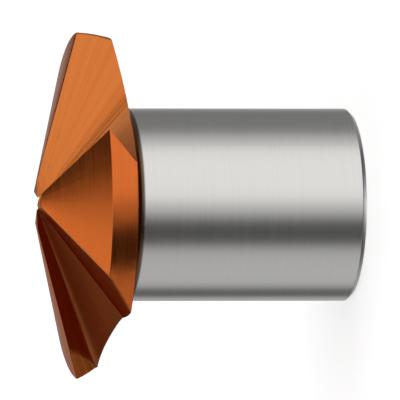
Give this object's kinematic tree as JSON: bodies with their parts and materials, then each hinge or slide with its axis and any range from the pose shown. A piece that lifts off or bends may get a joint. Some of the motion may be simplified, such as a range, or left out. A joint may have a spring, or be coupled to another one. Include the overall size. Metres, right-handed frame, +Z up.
{
  "type": "countersink bit",
  "caption": "Fluted countersink bit with a wide blunt cone, slanted flutes between relieved teeth, and a plain cylindrical shank to be gripped in a chuck or collet.",
  "frame": {"origin": "centre of the shank's flat end face, on which the tool stands", "axes": "+Z up the tool axis from the shank to the point; one tooth is centred on -Y; the cutting edges lead anticlockwise seen from the point"},
  "size_m": [0.036, 0.0344, 0.0329],
  "materials": {
    "tool_steel": "bright ground shank, with a copper-orange hard coating on the ground head"
  },
  "bodies": {
    "root": {"countersink_bit": "tool_steel"}
  },
  "joints": []
}
